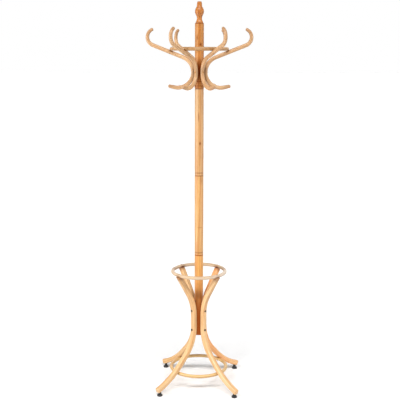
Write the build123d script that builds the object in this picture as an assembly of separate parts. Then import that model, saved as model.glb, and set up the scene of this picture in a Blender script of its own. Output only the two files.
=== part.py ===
from build123d import *
from build123d.topology import SkipClean
import math
import os

os.makedirs("parts", exist_ok=True)

# Bentwood coat stand. Lengths are in millimetres and angles in degrees. Heights are measured from the
# floor, radii from the pole's axis, and azimuths from +X towards +Y.

# Pole: four turned sections screwed end to end, under a turned finial
pole_diameter = 42.0
lower_section_length = 410.0
middle_section_length = 393.0
upper_section_length = 415.0
crown_section_length = 300.0
section_end_chamfer = 1.5
section_groove_rise = 12.0
groove_depth = 1.4
pole_overhang = 48.0  # from the straight waist of the legs down to the pole's lower end
collar_projection = 1.5
collar_height = 29.0
collar_groove_rises = (6.0, 12.0, 20.0)

# Finial
finial_foot_diameter = 35.0
finial_foot_height = 3.0
finial_neck_diameter = 24.0
finial_neck_rise = 21.0
finial_bulb_diameter = 42.0
finial_bulb_rise = 53.0
finial_throat_diameter = 23.0
finial_throat_rise = 79.0
finial_cap_base_diameter = 25.0
finial_cap_diameter = 20.0
finial_height = 98.0
finial_cap_rounding = 4.0
finial_flare_direction = (-0.25, 1.0)  # (outwards, upwards) where the foot starts to narrow
finial_throat_direction = (-0.33, 0.94)  # (outwards, upwards) where the bulb meets the cap

# Legs: rectangular bentwood bars, described from the waist down to the foot and up to the top
leg_count = 4
leg_azimuth = 42.5
leg_width = 23.0
leg_thickness = 25.0
leg_corner_radius = 6.0
leg_waist_length = 52.0
leg_knee_radius = 205.0
leg_knee_turn = 43.5
leg_shin_length = 46.0
leg_toe_radius = 380.0
leg_toe_overhang = 16.0  # from the foot's axis out to the end of the leg
leg_hip_radius = 230.0
leg_hip_turn = 32.3
leg_end_rounding = 4.0
leg_flat_depth = 1.0  # flats milled on the pole, which seat the legs
leg_flat_length = 136.0
foot_radius = 255.0

# Arms: round bentwood rods, described from the waist down to the lower tip and up to the upper tip
arm_count = 6
arm_azimuth = -1.5
arm_diameter = 19.0
arm_tip_diameter = 15.0
arm_tip_rounding = 5.0
arm_waist_rise = 74.0  # from the collar's foot up to the arms' waist
arm_lower_bend_radius = 72.0
arm_lower_overturn = 12.0
arm_lower_tip_length = 31.0
arm_upper_bend_radius = 74.0
arm_slope = 21.6
arm_slope_length = 153.0
arm_hook_radius = 39.0
arm_hook_turn = 141.0
arm_flat_depth = 0.5  # flats milled on the pole and on the arm, which seat each other
arm_flat_length = 28.0

# Rings
crown_ring_radius = 130.0
crown_ring_section = 17.5
umbrella_ring_height = 577.0
umbrella_ring_section = 16.5
base_ring_height = 83.5
base_ring_section = 16.5
ring_notch_depth = 1.5  # how deep a ring beds into the arm or leg that carries it

# Levelling feet
foot_base_diameter = 26.0
foot_base_height = 8.0
foot_base_rounding = 2.5
foot_neck_diameter = 14.0
foot_height = 24.0
foot_stud_diameter = 8.0
foot_stud_length = 14.0
foot_stud_anchor = 12.0
foot_insert_diameter = 12.0
foot_insert_length = 15.0
foot_insert_flange_diameter = 16.0
foot_insert_flange_height = 1.5

# Fasteners
stud_chamfer = 1.0
section_stud_diameter = 8.0
section_stud_wood_length = 34.0
section_stud_thread_length = 20.0
section_insert_diameter = 13.0
section_insert_length = 24.0
finial_stud_diameter = 6.0
finial_stud_wood_length = 24.0
finial_stud_pole_length = 26.0
leg_bolt_rises = (32.0, 130.0)  # above the pole's lower end
leg_bolt_diameter = 6.0
leg_bolt_head_diameter = 10.0
leg_bolt_head_height = 3.5
leg_bolt_head_chamfer = 1.1
leg_bolt_socket_width = 4.0
leg_bolt_socket_depth = 2.5
leg_bolt_engagement = 10.0
leg_insert_diameter = 9.0
leg_insert_length = 11.5
wood_screw_diameter = 4.0
wood_screw_head_diameter = 8.0
wood_screw_head_height = 3.0
wood_screw_slot_width = 1.0
wood_screw_slot_depth = 1.2
arm_screw_length = 28.0
ring_screw_grip = 11.0  # how far a ring's screw reaches past the seat into the second piece

# Fits
clearance = 0.1  # between a fastener and its hole, and between a ring and its bed
running_clearance = 0.1  # between a levelling foot's stud and its insert
bore_end_gap = 1.0  # free depth past the end of a fastener

pole_radius = pole_diameter / 2
collar_radius = pole_radius + collar_projection
leg_seat_radius = pole_radius - leg_flat_depth
leg_waist_radius = leg_seat_radius + leg_thickness / 2
arm_seat_radius = pole_radius - arm_flat_depth
arm_radius = arm_diameter / 2
arm_waist_radius = arm_seat_radius + arm_radius - arm_flat_depth


def walk(x, z, heading, moves):
    """Tangent edges in the XZ plane. A move is a length, or a radius and a turn (left is positive)."""
    edges = []
    for radius, amount in moves:
        direction = math.radians(heading)
        if radius is None:
            end = (x + amount * math.cos(direction), z + amount * math.sin(direction))
            edges.append(Plane.XZ * Line((x, z), end))
        else:
            side = math.copysign(1, amount)
            centre = (x - side * radius * math.sin(direction), z + side * radius * math.cos(direction))
            edges.append(Plane.XZ * CenterArc(centre, radius, heading - side * 90, amount))
            heading += amount
            after = math.radians(heading)
            end = (centre[0] + side * radius * math.sin(after), centre[1] - side * radius * math.cos(after))
        x, z = end
    return edges


def around(part, azimuth):
    """Turn a part from the +X half plane to an azimuth about the pole."""
    return Rot(0, 0, azimuth) * part


def rod(start, direction, diameter, length):
    """Cylinder that starts at a point and runs along a direction."""
    return Plane(origin=start, z_dir=direction) * Cylinder(
        diameter / 2, length, align=(Align.CENTER, Align.CENTER, Align.MIN)
    )


def ring_bed(radius, section, height):
    """Cutter that beds a ring into what carries it."""
    return Pos(0, 0, height) * Torus(radius, section / 2 + clearance)


def bored_ring(radius, section, height, place, count, azimuth):
    """Round-section ring about the pole's axis, from equal sectors that are bored for one screw each."""
    profile = around(Plane.XZ * Pos(radius, height) * Circle(section / 2), -180 / count)
    sector = revolve(profile, Axis.Z, 360 / count) - screw_hole(place)
    with SkipClean():
        return Part() + [around(sector, azimuth + k * 360 / count) for k in range(count)]


def turned(outline):
    """Solid of revolution about the pole's axis, from an outline of (radius, height) points."""
    return revolve(Plane.XZ * make_face(Polyline(outline, close=True)), Axis.Z)


# --- Leg line: bent upwards from the foot, straight along the pole, then outwards to the ring ---

knee_and_shin_moves = [(leg_knee_radius, leg_knee_turn), (None, leg_shin_length)]
shin_end = walk(leg_waist_radius, 0, -90, knee_and_shin_moves)[-1] @ 1
toe_centre_radius = shin_end.X + leg_toe_radius * math.cos(math.radians(leg_knee_turn))
toe_end_slope = math.degrees(math.acos((toe_centre_radius - foot_radius - leg_toe_overhang) / leg_toe_radius))
leg_lower_moves = [*knee_and_shin_moves, (leg_toe_radius, toe_end_slope - leg_knee_turn)]
toe = walk(leg_waist_radius, 0, -90, leg_lower_moves)[-1]
toe_centre = toe.arc_center
toe_underside_radius = leg_toe_radius + leg_thickness / 2
foot_seat_radius = foot_insert_flange_diameter / 2 + clearance
foot_seat_drop = toe_centre.Z - math.sqrt(
    toe_underside_radius**2 - (foot_radius - foot_seat_radius - toe_centre.X) ** 2
)
waist_height = foot_height - foot_seat_drop
waist_top = waist_height + leg_waist_length

# --- Heights of the pole's sections ---

pole_foot = waist_height - pole_overhang
leg_bolt_heights = [pole_foot + rise for rise in leg_bolt_rises]
lower_section_top = pole_foot + lower_section_length
middle_section_top = lower_section_top + middle_section_length
upper_section_top = middle_section_top + upper_section_length
crown_section_top = upper_section_top + crown_section_length
arm_waist_height = upper_section_top + arm_waist_rise

# --- Seats of the three rings ---

umbrella_ring_seat = umbrella_ring_height - umbrella_ring_section / 2 + ring_notch_depth
hip = walk(leg_waist_radius, waist_top, 90, [(leg_hip_radius, -leg_hip_turn)])[0]
hip_end = hip @ 1
umbrella_ring_radius = hip_end.X + (umbrella_ring_seat - hip_end.Z) * math.tan(math.radians(leg_hip_turn))
leg_thigh_length = (umbrella_ring_height - hip_end.Z) / math.cos(math.radians(leg_hip_turn))

toe_centre_height = waist_height + toe_centre.Z
base_ring_offset = toe_underside_radius + base_ring_section / 2 - ring_notch_depth
base_ring_radius = toe_centre.X - math.sqrt(
    base_ring_offset**2 - (toe_centre_height - base_ring_height) ** 2
)

arm_rise_direction = Vector(math.cos(math.radians(arm_slope)), 0, math.sin(math.radians(arm_slope)))
arm_rise_normal = Vector(-arm_rise_direction.Z, 0, arm_rise_direction.X)
crown_ring_offset = arm_radius + crown_ring_section / 2 - ring_notch_depth
arm_bend_end = walk(
    arm_waist_radius, arm_waist_height, 90, [(arm_upper_bend_radius, arm_slope - 90)]
)[0] @ 1
arm_seat_radial_run = crown_ring_radius - crown_ring_offset * arm_rise_normal.X - arm_bend_end.X
arm_seat_run = arm_seat_radial_run / arm_rise_direction.X
arm_ring_seat = arm_bend_end + arm_rise_direction * arm_seat_run
crown_ring_height = (arm_ring_seat + arm_rise_normal * crown_ring_offset).Z


# --- Fasteners, each in the +X half plane ---


def countersunk(head_point, direction, length, growth):
    """Screw's outline from the middle of its flush head, with its radii grown by a clearance."""
    head = Plane(origin=head_point, z_dir=direction) * Cone(
        wood_screw_head_diameter / 2 + growth,
        wood_screw_diameter / 2 + growth,
        wood_screw_head_height,
        align=(Align.CENTER, Align.CENTER, Align.MIN),
    )
    return head + rod(head_point, direction, wood_screw_diameter + 2 * growth, length)


def wood_screw(head_point, direction, length):
    """Countersunk wood screw with a driver slot."""
    slot = Plane(origin=head_point, z_dir=direction) * Box(
        2 * wood_screw_head_diameter, wood_screw_slot_width, 2 * wood_screw_slot_depth
    )
    return countersunk(head_point, direction, length, 0) - slot


def screw_hole(place):
    head_point, direction, length = place
    return countersunk(head_point, direction, length + bore_end_gap, clearance)


# Each screw has the middle of its head, its direction and its length
arm_screw_place = (
    Vector(arm_waist_radius + arm_radius, 0, arm_waist_height),
    Vector(-1, 0, 0),
    arm_screw_length,
)
crown_ring_screw_place = (
    arm_ring_seat - arm_rise_normal * arm_radius,
    arm_rise_normal,
    arm_diameter + ring_screw_grip,
)
umbrella_ring_screw_place = (
    Vector(umbrella_ring_radius, 0, umbrella_ring_height + umbrella_ring_section / 2),
    Vector(0, 0, -1),
    umbrella_ring_section + ring_screw_grip,
)
base_ring_centre = Vector(base_ring_radius, 0, base_ring_height)
base_ring_outward = (Vector(toe_centre.X, 0, toe_centre_height) - base_ring_centre).normalized()
base_ring_screw_place = (
    base_ring_centre - base_ring_outward * (base_ring_section / 2),
    base_ring_outward,
    base_ring_section + ring_screw_grip,
)


def screw_group(place, count, azimuth):
    """Identical screws around the pole, as separate solids."""
    screw = wood_screw(*place)
    return Compound(children=[around(screw, azimuth + k * 360 / count) for k in range(count)])


def leg_bolt(height):
    """Furniture bolt with a flat round head and a hexagon socket, from outside a leg into the pole."""
    shank_length = leg_thickness + leg_bolt_engagement
    seat = Vector(leg_seat_radius + leg_thickness, 0, height)
    head = rod(seat, (1, 0, 0), leg_bolt_head_diameter, leg_bolt_head_height)
    head = chamfer(head.edges().group_by(Axis.X)[-1], leg_bolt_head_chamfer)
    socket = Plane(origin=seat + Vector(leg_bolt_head_height, 0, 0), z_dir=(-1, 0, 0)) * extrude(
        RegularPolygon(leg_bolt_socket_width / 2, 6, major_radius=False), leg_bolt_socket_depth
    )
    return head + rod(seat, (-1, 0, 0), leg_bolt_diameter, shank_length) - socket


def leg_bolt_hole(height):
    """Bore for a leg's bolt, with a spot face that levels the bent bar under the bolt's head."""
    seat = Vector(leg_seat_radius + leg_thickness, 0, height)
    spot_face = rod(seat, (1, 0, 0), leg_bolt_head_diameter + 2 * clearance, leg_thickness)
    bore_length = leg_thickness + leg_bolt_engagement + bore_end_gap
    return spot_face + rod(seat, (-1, 0, 0), leg_bolt_diameter + 2 * clearance, bore_length)


def leg_insert(height, growth=0.0):
    """Threaded insert sunk into the pole behind a leg."""
    mouth = Vector(leg_seat_radius, 0, height)
    return rod(mouth, (-1, 0, 0), leg_insert_diameter + 2 * growth, leg_insert_length + growth)


# --- Pole ---


def section_outline(length, bottom_radius, grooves):
    """Outline of a turned section, with chamfered ends and V grooves cut round it."""
    radius = bottom_radius
    outline = [(0, 0), (radius - section_end_chamfer, 0), (radius, section_end_chamfer)]
    for rise in grooves:
        outline += [
            (radius, rise - groove_depth),
            (radius - groove_depth, rise),
            (radius, rise + groove_depth),
        ]
    if bottom_radius > pole_radius:
        outline += [
            (radius, collar_height - section_end_chamfer),
            (pole_radius, collar_height),
        ]
    outline += [
        (pole_radius, length - section_end_chamfer),
        (pole_radius - section_end_chamfer, length),
        (0, length),
    ]
    return outline


def stud_hole():
    """Hole for the wood thread of a stud, bored up from a section's lower end."""
    return rod(
        (0, 0, 0),
        (0, 0, 1),
        section_stud_diameter + 2 * clearance,
        section_stud_wood_length + bore_end_gap,
    )


def insert_hole(length):
    """Hole for a threaded insert and the stud's end, bored down from a section's upper end."""
    return rod(
        (0, 0, length),
        (0, 0, -1),
        section_insert_diameter + 2 * clearance,
        section_insert_length + bore_end_gap,
    )


def lower_section():
    body = turned(section_outline(lower_section_length, pole_radius, ())) - insert_hole(lower_section_length)
    body = Pos(0, 0, pole_foot) * body
    flat_middle = sum(leg_bolt_heights) / len(leg_bolt_heights)
    flat = Pos(leg_seat_radius + pole_radius / 2, 0, flat_middle) * Box(
        pole_radius, pole_diameter, leg_flat_length
    )
    for k in range(leg_count):
        azimuth = leg_azimuth + k * 360 / leg_count
        body -= around(flat, azimuth)
        for height in leg_bolt_heights:
            body -= around(leg_insert(height, clearance), azimuth)
    return body


def plain_section(length):
    body = turned(section_outline(length, pole_radius, (section_groove_rise,)))
    return body - stud_hole() - insert_hole(length)


def crown_section():
    body = turned(section_outline(crown_section_length, collar_radius, collar_groove_rises))
    top_hole = rod(
        (0, 0, crown_section_length),
        (0, 0, -1),
        finial_stud_diameter + 2 * clearance,
        finial_stud_pole_length + bore_end_gap,
    )
    body = Pos(0, 0, upper_section_top) * (body - stud_hole() - top_hole)
    flat = Pos(arm_seat_radius + pole_radius / 2, 0, arm_waist_height) * Box(
        pole_radius, pole_diameter, arm_flat_length
    )
    for k in range(arm_count):
        azimuth = arm_azimuth + k * 360 / arm_count
        body -= around(flat, azimuth)
        body -= around(screw_hole(arm_screw_place), azimuth)
    return body


def finial():
    """Turned finial: a flared foot, a slim neck, an egg-shaped bulb and a tapered cap."""
    foot = Line((finial_foot_diameter / 2, 0), (finial_foot_diameter / 2, finial_foot_height))
    neck_point = (finial_neck_diameter / 2, finial_neck_rise)
    bulb_point = (finial_bulb_diameter / 2, finial_bulb_rise)
    throat_point = (finial_throat_diameter / 2, finial_throat_rise)
    flare = Spline(foot @ 1, neck_point, tangents=[finial_flare_direction, (0, 1)])
    lower_bulb = Spline(neck_point, bulb_point, tangents=[(0, 1), (0, 1)])
    upper_bulb = Spline(bulb_point, throat_point, tangents=[(0, 1), finial_throat_direction])
    cap_base = Line(upper_bulb @ 1, (finial_cap_base_diameter / 2, finial_throat_rise + groove_depth))
    cap_side = Line(cap_base @ 1, (finial_cap_diameter / 2, finial_height))
    cap_top = Line(cap_side @ 1, (0, finial_height))
    axis_line = Line(cap_top @ 1, (0, 0))
    underside = Line((0, 0), foot @ 0)
    side = [foot, flare, lower_bulb, upper_bulb, cap_base, cap_side]
    outline = Curve() + [*side, cap_top, axis_line, underside]
    body = revolve(Plane.XZ * make_face(outline), Axis.Z)
    body = fillet(body.edges().group_by(Axis.Z)[-1], finial_cap_rounding)
    bore = rod(
        (0, 0, 0),
        (0, 0, 1),
        finial_stud_diameter + 2 * clearance,
        finial_stud_wood_length + bore_end_gap,
    )
    return Pos(0, 0, crown_section_top) * (body - bore)


def section_stud():
    """Stud that joins two sections: wood thread above the joint, machine thread below it."""
    stud = rod(
        (0, 0, -section_stud_thread_length),
        (0, 0, 1),
        section_stud_diameter,
        section_stud_thread_length + section_stud_wood_length,
    )
    return chamfer(stud.edges(), stud_chamfer)


def section_insert():
    sleeve = rod((0, 0, 0), (0, 0, -1), section_insert_diameter, section_insert_length)
    bore = rod((0, 0, 0), (0, 0, -1), section_stud_diameter + 2 * clearance, section_insert_length)
    return sleeve - bore


def at_section_joints(part):
    """Copies of a fastener at the three joints between the pole's sections."""
    heights = (lower_section_top, middle_section_top, upper_section_top)
    return Compound(children=[Pos(0, 0, height) * part for height in heights])


def finial_stud():
    stud = rod(
        (0, 0, crown_section_top - finial_stud_pole_length),
        (0, 0, 1),
        finial_stud_diameter,
        finial_stud_pole_length + finial_stud_wood_length,
    )
    return chamfer(stud.edges(), stud_chamfer)


# --- Arms ---


def arm_section(edge, position, diameter):
    """Round section of an arm, square to an edge of its line."""
    return Plane(origin=edge @ position, z_dir=edge % position) * Circle(diameter / 2)


def arm():
    """Arm in the +X half plane: a lower hook, a waist against the pole, a slope and an upper hook."""
    lower = walk(
        arm_waist_radius,
        arm_waist_height,
        -90,
        [(arm_lower_bend_radius, 90 + arm_lower_overturn), (None, arm_lower_tip_length)],
    )
    upper = walk(
        arm_waist_radius,
        arm_waist_height,
        90,
        [
            (arm_upper_bend_radius, arm_slope - 90),
            (None, arm_slope_length),
            (arm_hook_radius, arm_hook_turn),
        ],
    )
    lower_bend, lower_tip = lower
    upper_bend, slope, hook = upper
    shaft = sweep(arm_section(lower_bend, 0, arm_diameter), path=lower_bend)
    shaft += sweep(arm_section(upper_bend, 0, arm_diameter), path=upper_bend)
    shaft += sweep(arm_section(slope, 0, arm_diameter), path=slope)
    for edge in (lower_tip, hook):
        sections = [arm_section(edge, 0, arm_diameter), arm_section(edge, 1, arm_tip_diameter)]
        tip = sweep(sections, path=edge, multisection=True)
        end_face = tip.faces().sort_by_distance(edge @ 1)[0]
        shaft += fillet(end_face.edges(), arm_tip_rounding)
    seat = Pos(arm_seat_radius - arm_radius, 0, arm_waist_height) * Box(
        arm_diameter, arm_diameter, arm_flat_length
    )
    shaft = shaft - seat - ring_bed(crown_ring_radius, crown_ring_section, crown_ring_height)
    return shaft - screw_hole(arm_screw_place) - screw_hole(crown_ring_screw_place)


# --- Legs ---


def leg():
    """Leg in the +X half plane, swept from the foot to the seat of the umbrella ring."""
    down = walk(leg_waist_radius, waist_height, -90, leg_lower_moves)
    waist_line = Plane.XZ * Line((leg_waist_radius, waist_height), (leg_waist_radius, waist_top))
    thigh = walk(
        leg_waist_radius, waist_top, 90, [(leg_hip_radius, -leg_hip_turn), (None, leg_thigh_length)]
    )
    path = Wire([*down, waist_line, *thigh])
    section = Plane(origin=path @ 0, x_dir=(0, 1, 0), z_dir=path % 0) * RectangleRounded(
        leg_width, leg_thickness, leg_corner_radius
    )
    body = sweep(section, path=path)
    toe_end = body.faces().sort_by_distance(down[-1] @ 1)[0]
    body = fillet(toe_end.edges(), leg_end_rounding)
    top_waste = Pos(umbrella_ring_radius, 0, umbrella_ring_seat) * Box(
        8 * leg_thickness, 2 * leg_width, 8 * leg_thickness, align=(Align.CENTER, Align.CENTER, Align.MIN)
    )
    body -= top_waste
    body -= ring_bed(umbrella_ring_radius, umbrella_ring_section, umbrella_ring_height)
    body -= ring_bed(base_ring_radius, base_ring_section, base_ring_height)
    body -= screw_hole(umbrella_ring_screw_place)
    body -= screw_hole(base_ring_screw_place)
    for height in leg_bolt_heights:
        body -= leg_bolt_hole(height)
    return body - foot_bore()


def foot_bore():
    """Spot face and bore in a leg's underside, which take the threaded insert and the foot's stud."""
    base = (foot_radius, 0, foot_height)
    face = rod(base, (0, 0, -1), foot_insert_flange_diameter + 2 * clearance, foot_height)
    flange = rod(base, (0, 0, 1), foot_insert_flange_diameter + 2 * clearance, foot_insert_flange_height)
    barrel = rod(base, (0, 0, 1), foot_insert_diameter + 2 * clearance, foot_insert_length + bore_end_gap)
    return face + flange + barrel


# --- Levelling feet ---


def foot_base():
    """Moulded base of a levelling foot: a rounded disc and a neck, around the end of its stud."""
    disc = Pos(foot_radius, 0, 0) * Cylinder(
        foot_base_diameter / 2, foot_base_height, align=(Align.CENTER, Align.CENTER, Align.MIN)
    )
    neck = rod((foot_radius, 0, 0), (0, 0, 1), foot_neck_diameter, foot_height)
    disc = fillet(disc.edges().group_by(Axis.Z)[-1], foot_base_rounding)
    stud_hole_start = (foot_radius, 0, foot_height)
    return disc + neck - rod(stud_hole_start, (0, 0, -1), foot_stud_diameter, foot_stud_anchor)


def foot_stud():
    start = (foot_radius, 0, foot_height - foot_stud_anchor)
    stud = rod(start, (0, 0, 1), foot_stud_diameter, foot_stud_anchor + foot_stud_length)
    return chamfer(stud.edges().group_by(Axis.Z)[-1], stud_chamfer)


def foot_insert():
    """Threaded insert in a leg, with a flange that the foot's neck rests against."""
    base = (foot_radius, 0, foot_height)
    body = rod(base, (0, 0, 1), foot_insert_diameter, foot_insert_length)
    body += rod(base, (0, 0, 1), foot_insert_flange_diameter, foot_insert_flange_height)
    return body - rod(base, (0, 0, 1), foot_stud_diameter + 2 * running_clearance, foot_insert_length)


# --- Assembly ---

nodes = {
    "lower_section": lower_section(),
    "middle_section": Pos(0, 0, lower_section_top) * plain_section(middle_section_length),
    "upper_section": Pos(0, 0, middle_section_top) * plain_section(upper_section_length),
    "crown_section": crown_section(),
    "finial": finial(),
    "section_studs": at_section_joints(section_stud()),
    "section_inserts": at_section_joints(section_insert()),
    "finial_stud": finial_stud(),
    "crown_ring": bored_ring(
        crown_ring_radius,
        crown_ring_section,
        crown_ring_height,
        crown_ring_screw_place,
        arm_count,
        arm_azimuth,
    ),
    "umbrella_ring": bored_ring(
        umbrella_ring_radius,
        umbrella_ring_section,
        umbrella_ring_height,
        umbrella_ring_screw_place,
        leg_count,
        leg_azimuth,
    ),
    "base_ring": bored_ring(
        base_ring_radius,
        base_ring_section,
        base_ring_height,
        base_ring_screw_place,
        leg_count,
        leg_azimuth,
    ),
    "arm_screws": screw_group(arm_screw_place, arm_count, arm_azimuth),
    "crown_ring_screws": screw_group(crown_ring_screw_place, arm_count, arm_azimuth),
    "umbrella_ring_screws": screw_group(umbrella_ring_screw_place, leg_count, leg_azimuth),
    "base_ring_screws": screw_group(base_ring_screw_place, leg_count, leg_azimuth),
}

one_arm = arm()
for k in range(arm_count):
    nodes[f"arm_{k + 1}"] = around(one_arm, arm_azimuth + k * 360 / arm_count)

one_leg = leg()
leg_azimuths = [leg_azimuth + k * 360 / leg_count for k in range(leg_count)]
for k, azimuth in enumerate(leg_azimuths):
    nodes[f"leg_{k + 1}"] = around(one_leg, azimuth)
    nodes[f"foot_{k + 1}"] = around(foot_base(), azimuth)
    nodes[f"foot_stud_{k + 1}"] = around(foot_stud(), azimuth)

nodes["leg_bolts"] = Compound(
    children=[around(leg_bolt(height), azimuth) for azimuth in leg_azimuths for height in leg_bolt_heights]
)
nodes["leg_bolt_inserts"] = Compound(
    children=[
        around(leg_insert(height) - leg_bolt_hole(height), azimuth)
        for azimuth in leg_azimuths
        for height in leg_bolt_heights
    ]
)
nodes["foot_inserts"] = Compound(children=[around(foot_insert(), azimuth) for azimuth in leg_azimuths])

for name, part in nodes.items():
    export_step(part, f"parts/{name}.step")
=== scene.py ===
import math

import bmesh
import bpy
from mathutils import Matrix, Vector


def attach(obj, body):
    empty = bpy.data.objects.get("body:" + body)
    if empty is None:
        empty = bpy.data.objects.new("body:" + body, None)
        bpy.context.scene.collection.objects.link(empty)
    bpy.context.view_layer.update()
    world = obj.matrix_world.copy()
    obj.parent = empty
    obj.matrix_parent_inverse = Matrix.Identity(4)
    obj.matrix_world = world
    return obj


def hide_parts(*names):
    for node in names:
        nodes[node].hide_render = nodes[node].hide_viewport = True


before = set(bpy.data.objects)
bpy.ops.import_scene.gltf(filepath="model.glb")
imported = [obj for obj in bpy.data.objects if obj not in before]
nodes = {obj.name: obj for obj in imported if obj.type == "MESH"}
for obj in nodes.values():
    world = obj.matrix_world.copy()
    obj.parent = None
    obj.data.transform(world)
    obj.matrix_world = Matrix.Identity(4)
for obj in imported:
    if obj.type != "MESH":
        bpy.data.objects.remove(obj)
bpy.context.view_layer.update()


# --- Studio camera ---
# A 72 mm lens stands 3.8 m in front of the stand, at 1.64 m, and looks down by ten and a half
# degrees, so that the stand fills the frame from its feet to its finial.
camera_place = (0, -3.80439, 1.64046)
camera_tilt = math.radians(79.46)
camera_roll = math.radians(0.133)

camera = bpy.data.objects.new("camera", bpy.data.cameras.new("camera"))
camera.data.lens = 71.91
camera.data.sensor_width = 36
camera.data.shift_x = 0.0024
camera.matrix_world = (
    Matrix.Translation(camera_place)
    @ Matrix.Rotation(camera_tilt, 4, "X")
    @ Matrix.Rotation(camera_roll, 4, "Z")
)
bpy.context.scene.collection.objects.link(camera)
bpy.context.scene.camera = camera
bpy.context.scene.view_settings.view_transform = "Standard"


# --- Studio light ---
# A softbox, wide and shallow, hangs high in front. It is drawn as seven suns side by side, and its
# width leaves only the shadows that are near the floor. Two tall strip boxes stand at the sides,
# the left one brighter, and draw the pale streaks along the lacquer.
sun_count = 7
sun_spacing = 0.6
sun_power = 0.43
strip_height = 2.3


def softbox(name, kind, power, place, target, **settings):
    """A lamp of that kind at a place, turned to a target."""
    lamp = bpy.data.objects.new(name, bpy.data.lights.new(name, kind))
    lamp.data.energy = power
    for key, value in settings.items():
        setattr(lamp.data, key, value)
    aim = (Vector(target) - Vector(place)).to_track_quat("-Z", "Y").to_matrix().to_4x4()
    lamp.matrix_world = Matrix.Translation(place) @ aim
    bpy.context.scene.collection.objects.link(lamp)


for k in range(sun_count):
    softbox(
        f"high_softbox_{k + 1}",
        "SUN",
        sun_power,
        (sun_spacing * (k - sun_count // 2), -2.45, 3.2),
        (0, 0, 0.4),
        angle=math.radians(8),
    )
softbox("back_softbox", "SUN", 0.4, (0.8, 2.4, 2.6), (0, 0, 0.8), angle=math.radians(50))
for side, power, across, width in (("left", 54, -2.5, 0.5), ("right", 22, 2.5, 0.4)):
    softbox(
        f"{side}_strip",
        "AREA",
        power,
        (across, -1.2, 1.1),
        (0, 0, 1.0),
        shape="RECTANGLE",
        size=width,
        size_y=strip_height,
    )


def bare_tree(owner):
    """The node tree of a material or a world, with nothing in it yet."""
    owner.use_nodes = True
    owner.node_tree.nodes.clear()
    return owner.node_tree


def add(tree, kind, inputs=None, **settings):
    """Adds a shader node with its settings. An input is a value, or the socket that feeds it."""
    node = tree.nodes.new("ShaderNode" + kind)
    for key, value in settings.items():
        setattr(node, key, value)
    for key, value in (inputs or {}).items():
        if isinstance(value, bpy.types.NodeSocket):
            tree.links.new(value, node.inputs[key])
        else:
            node.inputs[key].default_value = value
    return node


def linear(hex_colour):
    """Linear red, green, blue and alpha of an sRGB hex colour."""
    parts = [int(hex_colour[i : i + 2], 16) / 255 for i in (1, 3, 5)]
    return (*[p / 12.92 if p <= 0.04045 else ((p + 0.055) / 1.055) ** 2.4 for p in parts], 1)


# The room is plain white where the camera, the lacquer and the metal see it, and dimmer as a lamp
room = bpy.data.worlds.new("white_room")
tree = bare_tree(room)
ray = add(tree, "LightPath").outputs
seen = ray["Is Camera Ray"]
for kind_of_ray in ("Is Glossy Ray", "Is Transmission Ray"):
    seen = add(tree, "Math", {0: seen, 1: ray[kind_of_ray]}, operation="MAXIMUM").outputs[0]
fill = add(tree, "Background", {"Color": linear("#ffffff"), "Strength": 0.12}).outputs[0]
white = add(tree, "Background", {"Color": linear("#ffffff"), "Strength": 1.0}).outputs[0]
shown = add(tree, "MixShader", {0: seen, 1: fill, 2: white}).outputs[0]
add(tree, "OutputWorld", {"Surface": shown})
bpy.context.scene.world = room


# --- Studio floor ---
# White matt paper laid flat. It is lit nearly to white, and a little of its own white, which only
# the camera sees, takes it the rest of the way, so that the stand's shadows stay on it. It needs
# less of it near the stand, where the strip boxes light it too.
paper_reach = 60

paper = bpy.data.materials.new("white_matt_paper")
tree = bare_tree(paper)
ray = add(tree, "LightPath").outputs
matt = add(tree, "BsdfDiffuse", {"Color": linear("#f4f4f4")}).outputs[0]
here = add(tree, "TexCoord").outputs["Object"]
away = add(tree, "VectorMath", {0: here}, operation="LENGTH").outputs["Value"]
strength = add(
    tree,
    "MapRange",
    {"Value": away, "From Min": 0.2, "From Max": 2.5, "To Min": 0.1, "To Max": 0.25},
).outputs[0]
lift = add(tree, "Emission", {"Color": linear("#ffffff"), "Strength": strength}).outputs[0]
lifted = add(tree, "AddShader", {0: matt, 1: lift}).outputs[0]
shown = add(tree, "MixShader", {0: ray["Is Camera Ray"], 1: matt, 2: lifted}).outputs[0]
add(tree, "OutputMaterial", {"Surface": shown})

bm = bmesh.new()
bmesh.ops.create_grid(bm, x_segments=1, y_segments=1, size=paper_reach)
floor = bpy.data.objects.new("paper_floor", bpy.data.meshes.new("paper_floor"))
bm.to_mesh(floor.data)
bm.free()
floor.data.materials.append(paper)
bpy.context.scene.collection.objects.link(floor)


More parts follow.
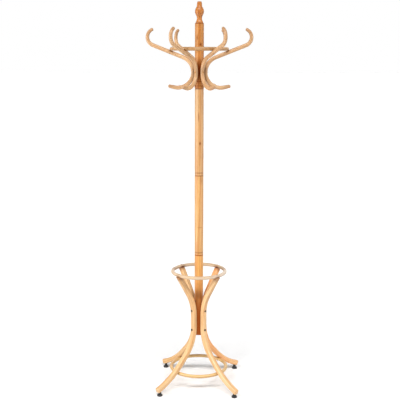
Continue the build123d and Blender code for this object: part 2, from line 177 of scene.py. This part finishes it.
# --- Pole: four turned sections ---
# Each section is a beech dowel, turned between centres and lacquered clear, with the fibres along
# the pole. V grooves mark the joints, and a wider collar stands at the crown section's foot.
def lacquered_beech(
    name,
    pale,
    warm,
    dark,
    board,
    bent=False,
    marks_and_shade=(),
    tips=None,
    coat=0.35,
    mark_and_shade_colour="#6e2a04",
):
    """Beech under a clear satin lacquer: long streaks of tone, growth rings, short dark ray flecks.

    board is where the piece lay in its board, in metres from the tree's pith. A bent piece reads
    the places it had while it was straight. A mark is a place, its half width and half length and
    how much of the mark colour it takes; there the colour darkens and the shine dulls. The
    marks are knots, stains and marks in the wood, dark lines at grooves and joints, and painted
    shade where parts crowd together or touch. tips are a colour and the two lengths past which the
    bent piece fades to it.
    """
    beech = bpy.data.materials.new(name)
    tree = bare_tree(beech)
    here = add(tree, "TexCoord").outputs["Object"]
    wood = add(tree, "Attribute", attribute_name="fibre").outputs["Vector"] if bent else here

    # The saw never runs quite along the fibres, and no two boards lie at the same turn about them
    slant = (0.012, -0.016, board[2])
    placed = add(
        tree, "Mapping", {"Vector": wood, "Location": board, "Rotation": slant}
    ).outputs[0]

    # Heartwood streaks, 14 mm wide and fifteen times as long. A colour Mix takes its factor at
    # input 0 and its colours at 6 and 7, and gives their mixture at output 2
    streak_width = 0.014
    drawn_out = add(tree, "Mapping", {"Vector": placed, "Scale": (1, 1, 0.065)}).outputs[0]
    streak = add(
        tree,
        "TexNoise",
        {"Vector": drawn_out, "Scale": 1 / streak_width, "Detail": 2.5, "Roughness": 0.5},
    ).outputs[0]
    streak = add(
        tree, "MapRange", {"Value": streak, "From Min": 0.36, "From Max": 0.64}
    ).outputs[0]
    body = add(
        tree, "Mix", {0: streak, 6: linear(pale), 7: linear(warm)}, data_type="RGBA"
    ).outputs[2]

    # Growth rings are 2 to 4 mm wide in beech. They are drawn 8 mm wide, so that they show. At
    # scale 1 a wave is 2 pi / 20 long
    ring_width = 0.008
    rings = add(
        tree,
        "TexWave",
        {
            "Vector": drawn_out,
            "Scale": 2 * math.pi / (20 * ring_width),
            "Distortion": 2.2,
            "Detail": 2,
            "Detail Scale": 2.0,
        },
        wave_type="RINGS",
        rings_direction="Z",
        wave_profile="SAW",
    ).outputs["Fac"]
    late = add(
        tree,
        "MapRange",
        {"Value": rings, "From Min": 0.45, "From Max": 1.0, "To Max": 0.42},
        interpolation_type="SMOOTHSTEP",
    ).outputs[0]
    body = add(tree, "Mix", {0: late, 6: body, 7: linear(dark)}, data_type="RGBA").outputs[2]

    # Ray flecks are 0.5 mm wide and 4 mm long. They are drawn three times as large, to show up
    fleck_width = 0.0017
    shortened = add(tree, "Mapping", {"Vector": placed, "Scale": (1, 1, 0.12)}).outputs[0]
    fleck = add(
        tree, "TexNoise", {"Vector": shortened, "Scale": 1 / fleck_width, "Detail": 1}
    ).outputs[0]
    fleck = add(
        tree, "MapRange", {"Value": fleck, "From Min": 0.6, "From Max": 0.7, "To Max": 0.5}
    ).outputs[0]
    body = add(tree, "Mix", {0: fleck, 6: body, 7: linear(dark)}, data_type="RGBA").outputs[2]

    # Each mark darkens the colour and dulls the shine. Where parts crowd or touch, this is painted
    # shade: a darker colour and a painted loss of the lacquer's reflection.
    specular, clear_coat = 0.5, coat
    for place, half_width, half_length, strength in marks_and_shade:
        squeeze = (1 / half_width, 1 / half_width, 1 / half_length)
        away = add(tree, "VectorMath", {0: here, 1: place}, operation="SUBTRACT").outputs[0]
        away = add(tree, "VectorMath", {0: away, 1: squeeze}, operation="MULTIPLY").outputs[0]
        reach = add(tree, "VectorMath", {0: away}, operation="LENGTH").outputs["Value"]
        shade = add(
            tree,
            "MapRange",
            {"Value": reach, "From Min": 1.0, "From Max": 0.1, "To Max": strength},
            interpolation_type="SMOOTHSTEP",
        ).outputs[0]
        body = add(tree, "Mix", {0: shade, 6: body, 7: linear(mark_and_shade_colour)}, data_type="RGBA").outputs[2]
        kept = add(tree, "Math", {0: 1.0, 1: shade}, operation="SUBTRACT").outputs[0]
        specular = add(tree, "Math", {0: specular, 1: kept}, operation="MULTIPLY").outputs[0]
        clear_coat = add(tree, "Math", {0: clear_coat, 1: kept}, operation="MULTIPLY").outputs[0]

    # Hands have toned the tips down, over the last 50 mm of one end and the last 90 mm of the other
    if tips:
        tip_colour, lower_end, upper_end = tips
        run = add(tree, "SeparateXYZ", {0: wood}).outputs["Z"]
        low = add(
            tree, "MapRange", {"Value": run, "From Min": lower_end + 0.05, "From Max": lower_end}
        ).outputs[0]
        high = add(
            tree, "MapRange", {"Value": run, "From Min": upper_end - 0.09, "From Max": upper_end}
        ).outputs[0]
        handled = add(tree, "Math", {0: low, 1: high}, operation="MAXIMUM").outputs[0]
        handled = add(tree, "Math", {0: handled, 1: 0.7}, operation="MULTIPLY").outputs[0]
        body = add(
            tree, "Mix", {0: handled, 6: body, 7: linear(tip_colour)}, data_type="RGBA"
        ).outputs[2]

    # The lacquer sinks a little into the fibres, 0.8 mm apart, which breaks up its shine
    fibre_width = 0.0008
    combed = add(tree, "Mapping", {"Vector": placed, "Scale": (1, 1, 0.03)}).outputs[0]
    fibre = add(
        tree, "TexNoise", {"Vector": combed, "Scale": 1 / fibre_width, "Detail": 2}
    ).outputs[0]
    dull = add(tree, "MapRange", {"Value": fibre, "To Min": 0.36, "To Max": 0.52}).outputs[0]
    raised = add(
        tree, "Bump", {"Height": fibre, "Strength": 0.25, "Distance": 0.0001}
    ).outputs[0]
    surface = add(
        tree,
        "BsdfPrincipled",
        {
            "Base Color": body,
            "Roughness": dull,
            "IOR": 1.5,
            "Specular IOR Level": specular,
            "Coat Weight": clear_coat,
            "Coat Roughness": 0.28,
            "Normal": raised,
        },
    ).outputs[0]
    add(tree, "OutputMaterial", {"Surface": surface})
    return beech


def finish_nodes(material, *names):
    """Gives CAD nodes their finish through their own material slots."""
    for name in names:
        nodes[name].material_slots[0].material = material


# Painted shade darkens most of the lower section's length, where the legs crowd it, and a dark
# line marks the joint at its top
finish_nodes(
    lacquered_beech(
        "clear_lacquered_beech_lower",
        "#dda458",
        "#d18d3e",
        "#ae6623",
        (0.045, 0.02, 0.3),
        marks_and_shade=[((0, 0, 0.32), 0.3, 0.25, 1.0), ((0, 0, 0.6605), 0.3, 0.004, 1.0)],
        mark_and_shade_colour="#964b1e",
    ),
    "lower_section",
)

# The middle and the upper section each have a V groove low down, the joint at the top and two
# marks in the wood in front
finish_nodes(
    lacquered_beech(
        "clear_lacquered_beech_middle",
        "#d2a567",
        "#c68945",
        "#a96829",
        (0.03, -0.035, 1.1),
        marks_and_shade=[
            ((0, 0, 0.674), 0.3, 0.004, 0.6),
            ((0, 0, 1.0535), 0.3, 0.004, 0.8),
            ((0.006, -0.019, 0.8), 0.022, 0.004, 0.35),
            ((0.011, -0.018, 1.035), 0.013, 0.035, 0.3),
        ],
    ),
    "middle_section",
)
finish_nodes(
    lacquered_beech(
        "clear_lacquered_beech_upper",
        "#cea470",
        "#c18b4f",
        "#a06832",
        (-0.04, 0.03, 2.2),
        marks_and_shade=[
            ((0, 0, 1.067), 0.3, 0.004, 0.6),
            ((0, 0, 1.468), 0.3, 0.005, 0.8),
            ((0.004, -0.02, 1.209), 0.007, 0.012, 0.9),
            ((-0.003, -0.02, 1.335), 0.006, 0.035, 0.5),
        ],
    ),
    "upper_section",
)

# The crown section has dark lines at the three V grooves in its collar, the collar's step and the
# finial's joint, painted shade over the reach that the arms crowd, and two marks in the wood
finish_nodes(
    lacquered_beech(
        "clear_lacquered_beech_crown",
        "#c48437",
        "#b26b24",
        "#8f4d14",
        (0.02, 0.05, 3.4),
        marks_and_shade=[
            ((0, 0, 1.476), 0.3, 0.003, 0.8),
            ((0, 0, 1.482), 0.3, 0.003, 0.8),
            ((0, 0, 1.490), 0.3, 0.003, 0.8),
            ((0, 0, 1.5), 0.3, 0.005, 0.7),
            # painted shade where the arms crowd the pole
            ((0, 0, 1.55), 0.3, 0.075, 0.95),
            ((0, 0, 1.769), 0.3, 0.004, 0.9),
            ((0.006, -0.02, 1.672), 0.008, 0.012, 0.8),
            ((-0.009, -0.018, 1.703), 0.008, 0.02, 0.5),
        ],
        coat=0.15,
    ),
    "crown_section",
)


# --- Studs and inserts of the pole ---
# A zinc-plated hanger bolt is turned into each section's lower end and screws into a threaded
# steel sleeve in the section below. A thinner one holds the finial. They are hidden when joined.
def plated_steel(name, colour, roughness, grit):
    """Plated steel: a fine grit from rolling and plating breaks up its shine."""
    steel = bpy.data.materials.new(name)
    tree = bare_tree(steel)
    here = add(tree, "TexCoord").outputs["Object"]
    speckle = add(tree, "TexNoise", {"Vector": here, "Scale": 1 / grit, "Detail": 3}).outputs[0]
    dull = add(
        tree,
        "MapRange",
        {"Value": speckle, "To Min": roughness - 0.08, "To Max": roughness + 0.1},
    ).outputs[0]
    tarnish = add(
        tree, "MapRange", {"Value": speckle, "From Min": 0.35, "From Max": 0.75, "To Max": 0.35}
    ).outputs[0]
    darker = tuple(0.6 * part for part in linear(colour)[:3]) + (1,)
    tone = add(
        tree, "Mix", {0: tarnish, 6: linear(colour), 7: darker}, data_type="RGBA"
    ).outputs[2]
    raised = add(
        tree, "Bump", {"Height": speckle, "Strength": 0.15, "Distance": 0.00005}
    ).outputs[0]
    surface = add(
        tree,
        "BsdfPrincipled",
        {"Base Color": tone, "Metallic": 1.0, "Roughness": dull, "Normal": raised},
    ).outputs[0]
    add(tree, "OutputMaterial", {"Surface": surface})
    return steel


zinc_plated_steel = plated_steel("zinc_plated_steel", "#c4c8cc", 0.32, 0.0012)
finish_nodes(zinc_plated_steel, "section_studs", "section_inserts", "finial_stud")


# --- Finial ---
# One turned piece of beech: a flared foot, a slim neck, an egg-shaped bulb and a tapered cap. It is
# stained a little darker than the pole, and the end grain of its cap takes the most stain.
finish_nodes(
    lacquered_beech(
        "clear_lacquered_beech_finial",
        "#be7726",
        "#ac6118",
        "#834309",
        (-0.03, 0.04, 4.6),
        marks_and_shade=[((0, 0, 1.87), 0.02, 0.012, 0.6)],
        coat=0.15,
    ),
    "finial",
)


# --- Arms: six bent rods ---
# Each arm is one round beech rod, steamed and bent round a former: a lower hook, a waist that is
# screwed to a flat on the pole, a slope that carries the crown ring, and an upper hook.
arm_azimuths = [-1.5 + 60 * k for k in range(6)]
arm_diameter = 0.019
arm_tip_share = 15 / 19
arm_tip_rounding = 0.005
arm_waist = (0.0295, 0, 1.54394)
lower_hook = [(0.072, 102), (None, 0.031)]
slope_and_upper_hook = [(0.074, -68.4), (None, 0.153), (0.039, 141)]
arm_boards = [
    (0.05, 0.01, 0.2),
    (0.03, -0.03, 1.3),
    (-0.04, 0.03, 2.1),
    (0.02, 0.045, 3.0),
    (0.055, -0.01, 3.9),
    (-0.03, -0.04, 4.7),
]

# A screw's hole is 8.2 mm across at its mouth, and a cone 3 mm deep takes it down to 4.2 mm. A seat
# is the place of the mouth and the way that the screw goes
countersink = (
    (0, -0.003),
    (0.0041, -0.003),
    (0.0041, 0),
    (0.0021, 0.003),
    (0.0021, 0.006),
    (0, 0.006),
)
pole_screw_seat = ((0.039, 0, 1.54394), (-1, 0, 0))
crown_ring_screw_seat = ((0.13966, 0, 1.62763), (-0.36812, 0, 0.92978))


def straight_section(place):
    """Marks each corner of a first section, which lies flat at a place, with its place in the
    straight piece: across, across, and along the fibres."""
    blank = bm.verts.layers.float_vector.new("blank")
    for vert in bm.verts:
        vert[blank] = (vert.co.x - place[0], vert.co.y - place[1], 0)
    return list(bm.edges)


def draw_on(edges, place, heading, moves, tip_share=1.0, rounding=0.0):
    """Draws a section on along a bent line in the XZ plane and closes its end.

    A move is a length after None, or a radius and a turn in degrees, left turns positive. The last
    move thins the section to a share of its width, and its end is rounded over.
    """
    straight_step, bend_step = 0.012, 0.0045
    rounding_angles = (0, 20, 38, 55, 72, 90)
    blank = bm.verts.layers.float_vector["blank"]
    half_width = max(vert[blank].x for edge in edges for vert in edge.verts)
    centre, heading, along = Vector(place), math.radians(heading), 0.0
    sense = 1 if math.sin(heading) > 0 else -1
    for radius, amount in moves:
        length = amount if radius is None else radius * math.radians(abs(amount))
        count = max(2, round(length / (straight_step if radius is None else bend_step)))
        rests = [length * (i + 1) / count for i in range(count)]
        is_tip = (radius, amount) == moves[-1]
        if is_tip and rounding:
            rests = [rest for rest in rests if rest < length - 1.3 * rounding]
            rests += [
                length - rounding * (1 - math.sin(math.radians(angle)))
                for angle in rounding_angles
            ]
        done, width = 0.0, 1.0
        for rest in rests:
            drawn = bmesh.ops.extrude_edge_only(bm, edges=edges)["geom"]
            edges = [item for item in drawn if isinstance(item, bmesh.types.BMEdge)]
            ring = [item for item in drawn if isinstance(item, bmesh.types.BMVert)]
            if radius is None:
                shift = Vector((math.cos(heading), 0, math.sin(heading))) * (rest - done)
                bmesh.ops.translate(bm, verts=ring, vec=shift)
                centre += shift
            else:
                turn = math.copysign((rest - done) / radius, amount)
                leftwards = Vector((-math.sin(heading), 0, math.cos(heading)))
                to_pivot = leftwards * math.copysign(radius, amount)
                about = Matrix.Rotation(-turn, 3, "Y")
                bmesh.ops.rotate(bm, verts=ring, cent=centre + to_pivot, matrix=about)
                centre = centre + to_pivot - about @ to_pivot
                heading += turn
            along += rest - done
            done = rest
            share = 1.0
            if is_tip:
                in_from_end = max(0.0, rounding - (length - rest))
                cut = rounding - math.sqrt(max(0.0, rounding**2 - in_from_end**2))
                new_width = 1 + (tip_share - 1) * rest / length - cut / half_width
                share, width = new_width / width, new_width
                to_centre = Matrix.Translation(-centre)
                bmesh.ops.scale(bm, vec=(share,) * 3, space=to_centre, verts=ring)
            for vert in ring:
                vert[blank] = (vert[blank].x * share, vert[blank].y * share, sense * along)
    bmesh.ops.edgeloop_fill(bm, edges=edges)


def make_piece(name, azimuth, finish, node, seam=0.0):
    """Turns the drawn piece to its azimuth about the pole and makes it an object that replaces a
    CAD node. A ring's seam is its length, where the last face meets the first.

    Each face's corner keeps its place in the straight piece, which the beech's figure follows.
    """
    sharp_angle = math.radians(38)
    blank = bm.verts.layers.float_vector["blank"]
    fibre = bm.loops.layers.float_vector.new("fibre")
    for face in bm.faces:
        face.smooth = True
        runs = [loop.vert[blank].z for loop in face.loops]
        for loop, run in zip(face.loops, runs):
            over = seam if seam and max(runs) - run > seam / 2 else 0.0
            loop[fibre] = (*loop.vert[blank].xy, run + over)
    bm.verts.layers.float_vector.remove(blank)
    bmesh.ops.recalc_face_normals(bm, faces=bm.faces)
    for edge in bm.edges:
        edge.smooth = edge.calc_face_angle(0) < sharp_angle
    about = Matrix.Rotation(math.radians(azimuth), 3, "Z")
    bmesh.ops.rotate(bm, verts=bm.verts, cent=(0, 0, 0), matrix=about)
    piece = bpy.data.objects.new(name, bpy.data.meshes.new(name))
    bm.to_mesh(piece.data)
    bm.free()
    bpy.context.scene.collection.objects.link(piece)
    piece.data.materials.append(finish)
    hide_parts(node)
    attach(piece, "stand")
    return piece


def bore(piece, azimuth, seat, outline):
    """Drills a hole in a piece at a seat, which is turned to an azimuth about the pole. The
    outline is (radius, depth) pairs from the mouth down."""
    place, direction = seat
    drill = bmesh.new()
    points = [drill.verts.new((radius, 0, depth)) for radius, depth in outline]
    sides = [drill.edges.new(pair) for pair in zip(points, points[1:])]
    bmesh.ops.spin(
        drill,
        geom=points + sides,
        cent=(0, 0, 0),
        axis=(0, 0, 1),
        angle=2 * math.pi,
        steps=24,
        use_merge=True,
    )
    bmesh.ops.remove_doubles(drill, verts=drill.verts, dist=1e-6)
    bmesh.ops.recalc_face_normals(drill, faces=drill.faces)
    about = Matrix.Rotation(math.radians(azimuth), 4, "Z")
    aim = Vector(direction).to_track_quat("Z", "Y").to_matrix().to_4x4()
    bmesh.ops.transform(drill, matrix=about @ Matrix.Translation(place) @ aim, verts=drill.verts)
    cutter = bpy.data.objects.new("drill", bpy.data.meshes.new("drill"))
    drill.to_mesh(cutter.data)
    drill.free()
    bpy.context.scene.collection.objects.link(cutter)
    cut = piece.modifiers.new("bore", "BOOLEAN")
    cut.object = cutter
    cut.solver = "EXACT"
    bpy.context.view_layer.update()
    finished = piece.evaluated_get(bpy.context.evaluated_depsgraph_get())
    drilled = bpy.data.meshes.new_from_object(finished)
    piece.modifiers.clear()
    solid, piece.data = piece.data, drilled
    drilled.name = piece.name
    bpy.data.meshes.remove(solid)
    bpy.data.objects.remove(cutter)


def about_pole(radius, azimuth, height):
    """A place at a radius from the pole's axis, at an azimuth in degrees and a height."""
    turn = math.radians(azimuth)
    return (radius * math.cos(turn), radius * math.sin(turn), height)


for k, (azimuth, board) in enumerate(zip(arm_azimuths, arm_boards)):
    bm = bmesh.new()
    bmesh.ops.create_circle(
        bm, segments=32, radius=arm_diameter / 2, matrix=Matrix.Translation(arm_waist)
    )
    waist = straight_section(arm_waist)
    for heading, moves in ((-90, lower_hook), (90, slope_and_upper_hook)):
        draw_on(
            waist, arm_waist, heading, moves, tip_share=arm_tip_share, rounding=arm_tip_rounding
        )
    beech = lacquered_beech(
        f"clear_lacquered_beech_arm_{k + 1}",
        "#d1aa7c",
        "#c39363",
        "#a2703f",
        board,
        bent=True,
        # Painted shade on the waist, where the arms crowd the pole, and where the crown ring lies
        # on the arm
        marks_and_shade=[
            ((0, 0, 1.555), 0.042, 0.08, 0.7),
            (about_pole(0.130, azimuth, 1.645), 0.02, 0.012, 0.6),
        ],
        tips=("#a5784f", -0.159, 0.337),
    )
    arm = make_piece(f"bent_arm_{k + 1}", azimuth, beech, f"arm_{k + 1}")
    bore(arm, azimuth, pole_screw_seat, countersink)
    bore(arm, azimuth, crown_ring_screw_seat, countersink)

# The arms' screws are brass-plated steel, with a slotted flat head
brass_plated_steel = plated_steel("brass_plated_steel", "#a87846", 0.5, 0.001)
finish_nodes(brass_plated_steel, "arm_screws")


# --- Crown ring ---
# A round beech rod, bent to a ring and glued end to end with a scarf joint. It lies on the six
# arms, and a screw comes up into it through each.
crown_ring_radius = 0.130
crown_ring_diameter = 0.0175
crown_ring_height = 1.65204
crown_ring_scarf_azimuth = 100


def draw_ring(radius, diameter, height, scarf_lean=3.0, steps=120):
    """Spins a round section into a closed ring. Its first section leans along the ring, as the
    glued faces of a scarf joint do, so that the figure breaks off along a slope."""
    blank = bm.verts.layers.float_vector.new("blank")
    upright = Matrix.Translation((radius, 0, height)) @ Matrix.Rotation(math.pi / 2, 4, "X")
    section = bmesh.ops.create_circle(bm, segments=32, radius=diameter / 2, matrix=upright)["verts"]
    for vert in section:
        lean = scarf_lean * (vert.co.z - height) / radius
        vert[blank] = (vert.co.x - radius, vert.co.z - height, lean)
        bmesh.ops.rotate(bm, verts=[vert], cent=(0, 0, 0), matrix=Matrix.Rotation(lean, 3, "Z"))
    bmesh.ops.spin(
        bm,
        geom=section + list(bm.edges),
        cent=(0, 0, 0),
        axis=(0, 0, 1),
        angle=2 * math.pi,
        steps=steps,
        use_merge=True,
    )
    for vert in bm.verts:
        turned = math.atan2(vert.co.y, vert.co.x) - vert[blank].z
        step = round(turned / (2 * math.pi) * steps) % steps
        vert[blank].z = radius * (2 * math.pi * step / steps + vert[blank].z)
    return 2 * math.pi * radius


bm = bmesh.new()
length = draw_ring(crown_ring_radius, crown_ring_diameter, crown_ring_height)
beech = lacquered_beech(
    "clear_lacquered_beech_crown_ring",
    "#c09461",
    "#b0824c",
    "#906130",
    (0.04, 0.02, 0.7),
    bent=True,
    # Painted shade where the ring lies on each arm
    marks_and_shade=[
        (about_pole(crown_ring_radius, azimuth, 1.644), 0.018, 0.01, 0.7)
        for azimuth in arm_azimuths
    ],
)
make_piece(
    "bent_crown_ring", crown_ring_scarf_azimuth, beech, "crown_ring", seam=length
)
finish_nodes(brass_plated_steel, "crown_ring_screws")


# --- Legs: four bent bars ---
# Each leg is a beech bar, 23 by 25 mm with rounded corners, bent out to the floor below its waist
# and out to the umbrella ring above it. Its waist is bolted to a flat on the pole.
leg_azimuths = [42.5 + 90 * k for k in range(4)]
leg_width = 0.023
leg_thickness = 0.025
leg_corner = 0.006
leg_end_rounding = 0.004
leg_waist = (0.0325, 0, 0.29994)
down_to_floor = [(0.205, 43.5), (None, 0.046), (0.380, 27.28)]
up_past_ring = [(None, 0.052), (0.230, -32.3), (None, 0.136)]
umbrella_ring_seat = 0.57025
leg_batches = [
    ("#ebba82", "#e39d5d", "#bf7a3b", (0.05, 0.02, 0.5)),
    ("#d7b17f", "#ca995c", "#ab773e", (-0.03, 0.05, 1.6)),
    ("#ddb785", "#d2a068", "#b58049", (0.04, -0.03, 2.5)),
    ("#e3bf8d", "#d8a56d", "#b9844f", (-0.05, -0.02, 3.4)),
]

# The hole for a foot's insert is 12.2 mm across, with a recess of 16.2 mm for the insert's flange.
# A bolt's hole is 6.2 mm across, with a seat of 10.2 mm for the head
insert_hole = (
    (0, -0.024),
    (0.0081, -0.024),
    (0.0081, 0.0016),
    (0.0061, 0.0016),
    (0.0061, 0.016),
    (0, 0.016),
)
bolt_hole = ((0, -0.02), (0.0051, -0.02), (0.0051, 0), (0.0031, 0), (0.0031, 0.028), (0, 0.028))
foot_seat = ((0.255, 0, 0.024), (0, 0, 1))
bolt_seats = [((0.045, 0, height), (-1, 0, 0)) for height in (0.28394, 0.38194)]

for k, (azimuth, (pale, warm, dark, board)) in enumerate(zip(leg_azimuths, leg_batches)):
    bm = bmesh.new()
    bmesh.ops.create_grid(bm, x_segments=1, y_segments=1, size=0.5)
    bmesh.ops.scale(bm, vec=(leg_thickness, leg_width, 1), verts=bm.verts)
    bmesh.ops.translate(bm, vec=leg_waist, verts=bm.verts)
    bmesh.ops.bevel(
        bm,
        geom=list(bm.verts),
        offset=leg_corner,
        segments=6,
        profile=0.5,
        affect="VERTICES",
        material=-1,
    )
    bmesh.ops.delete(bm, geom=list(bm.faces), context="FACES_ONLY")
    waist = straight_section(leg_waist)
    draw_on(waist, leg_waist, -90, down_to_floor, rounding=leg_end_rounding)
    draw_on(waist, leg_waist, 90, up_past_ring)

    # The top is sawn off level, where the umbrella ring beds in it
    top = bmesh.ops.bisect_plane(
        bm,
        geom=list(bm.verts) + list(bm.edges) + list(bm.faces),
        plane_co=(0, 0, umbrella_ring_seat),
        plane_no=(0, 0, 1),
        clear_outer=True,
    )["geom_cut"]
    top_edges = [item for item in top if isinstance(item, bmesh.types.BMEdge)]
    bmesh.ops.edgeloop_fill(bm, edges=top_edges)

    beech = lacquered_beech(
        f"clear_lacquered_beech_leg_{k + 1}",
        pale,
        warm,
        dark,
        board,
        bent=True,
        # Painted shade on the waist, between the crowded legs, and where the umbrella ring and the
        # base ring touch the leg
        marks_and_shade=[
            ((0, 0, 0.33), 0.048, 0.1, 0.7),
            (about_pole(0.127, azimuth, 0.570), 0.028, 0.030, 0.9),
            (about_pole(0.143, azimuth, 0.089), 0.018, 0.012, 0.6),
        ],
    )
    leg = make_piece(f"bent_leg_{k + 1}", azimuth, beech, f"leg_{k + 1}")
    bore(leg, azimuth, foot_seat, insert_hole)
    for bolt_seat in bolt_seats:
        bore(leg, azimuth, bolt_seat, bolt_hole)

# The leg bolts are blackened steel with a flat round head and a hexagon socket, over plated inserts
finish_nodes(plated_steel("blackened_steel", "#15100d", 0.55, 0.001), "leg_bolts")
finish_nodes(zinc_plated_steel, "leg_bolt_inserts")


# --- Umbrella ring ---
# A bent beech ring like the crown ring. It beds in the tops of the four legs, and a brass-plated
# screw goes down through it into each.
umbrella_ring_radius = 0.1284
umbrella_ring_diameter = 0.0165
umbrella_ring_height = 0.577
umbrella_ring_scarf_azimuth = 75
umbrella_ring_screw_seat = ((umbrella_ring_radius, 0, 0.58525), (0, 0, -1))

bm = bmesh.new()
length = draw_ring(umbrella_ring_radius, umbrella_ring_diameter, umbrella_ring_height)
# Painted shade where the ring beds in the leg tops, and on the ring's left and right ends
shade_at_leg_tops = [
    (about_pole(0.122, azimuth, 0.572), 0.03, 0.016, 0.9) for azimuth in leg_azimuths
]
side_shade = [
    (about_pole(umbrella_ring_radius, azimuth, umbrella_ring_height), 0.04, 0.03, 0.4)
    for azimuth in (10, 170)
]
beech = lacquered_beech(
    "clear_lacquered_beech_umbrella_ring",
    "#d5c0a9",
    "#c9ac88",
    "#ac865b",
    (0.05, -0.02, 1.9),
    bent=True,
    marks_and_shade=shade_at_leg_tops + side_shade,
)
umbrella_ring = make_piece(
    "bent_umbrella_ring",
    umbrella_ring_scarf_azimuth,
    beech,
    "umbrella_ring",
    seam=length,
)
for azimuth in leg_azimuths:
    bore(umbrella_ring, azimuth, umbrella_ring_screw_seat, countersink)
finish_nodes(brass_plated_steel, "umbrella_ring_screws")


# --- Base ring ---
# A bent beech ring inside the four legs, near the floor. It ties them together, with a
# brass-plated screw through it into each leg from the inside.
base_ring_radius = 0.13675
base_ring_diameter = 0.0165
base_ring_height = 0.0835
base_ring_scarf_azimuth = 165
base_ring_screw_seat = ((0.13139, 0, 0.07723), (0.64962, 0, 0.76026))

bm = bmesh.new()
length = draw_ring(base_ring_radius, base_ring_diameter, base_ring_height)
beech = lacquered_beech(
    "clear_lacquered_beech_base_ring",
    "#dab980",
    "#cda264",
    "#ab7d42",
    (-0.04, 0.03, 2.7),
    bent=True,
    # Painted shade where the ring meets each leg
    marks_and_shade=[(about_pole(0.143, azimuth, 0.089), 0.02, 0.014, 0.8) for azimuth in leg_azimuths],
)
base_ring = make_piece(
    "bent_base_ring", base_ring_scarf_azimuth, beech, "base_ring", seam=length
)
for azimuth in leg_azimuths:
    bore(base_ring, azimuth, base_ring_screw_seat, countersink)
finish_nodes(brass_plated_steel, "base_ring_screws")


# --- Levelling feet ---
# Black nylon, moulded over a zinc-plated stud that screws into a flanged insert under the leg. Its
# fine spark-eroded texture keeps it matt, and the floor has rubbed the edge of the disc.
nylon = bpy.data.materials.new("black_moulded_nylon")
tree = bare_tree(nylon)
here = add(tree, "TexCoord").outputs["Object"]

# The mould's texture is 0.2 mm coarse. It is drawn 0.8 mm coarse, so that it shows
mould_texture = 0.0008
grain = add(tree, "TexVoronoi", {"Vector": here, "Scale": 1 / mould_texture}).outputs[0]

# The lowest 4 mm are rubbed paler, most of all at the floor
rubbed_height = 0.004
height = add(tree, "SeparateXYZ", {0: here}).outputs["Z"]
rubbed = add(
    tree, "MapRange", {"Value": height, "From Min": rubbed_height, "From Max": 0.0, "To Max": 0.6}
).outputs[0]
black = add(
    tree, "Mix", {0: rubbed, 6: linear("#17171a"), 7: linear("#34322f")}, data_type="RGBA"
).outputs[2]
dull = add(tree, "MapRange", {"Value": grain, "To Min": 0.42, "To Max": 0.6}).outputs[0]
raised = add(tree, "Bump", {"Height": grain, "Strength": 0.3, "Distance": 0.0001}).outputs[0]
surface = add(
    tree,
    "BsdfPrincipled",
    {"Base Color": black, "Roughness": dull, "IOR": 1.53, "Normal": raised},
).outputs[0]
add(tree, "OutputMaterial", {"Surface": surface})
finish_nodes(nylon, *[f"foot_{k + 1}" for k in range(4)])
finish_nodes(zinc_plated_steel, *[f"foot_stud_{k + 1}" for k in range(4)], "foot_inserts")
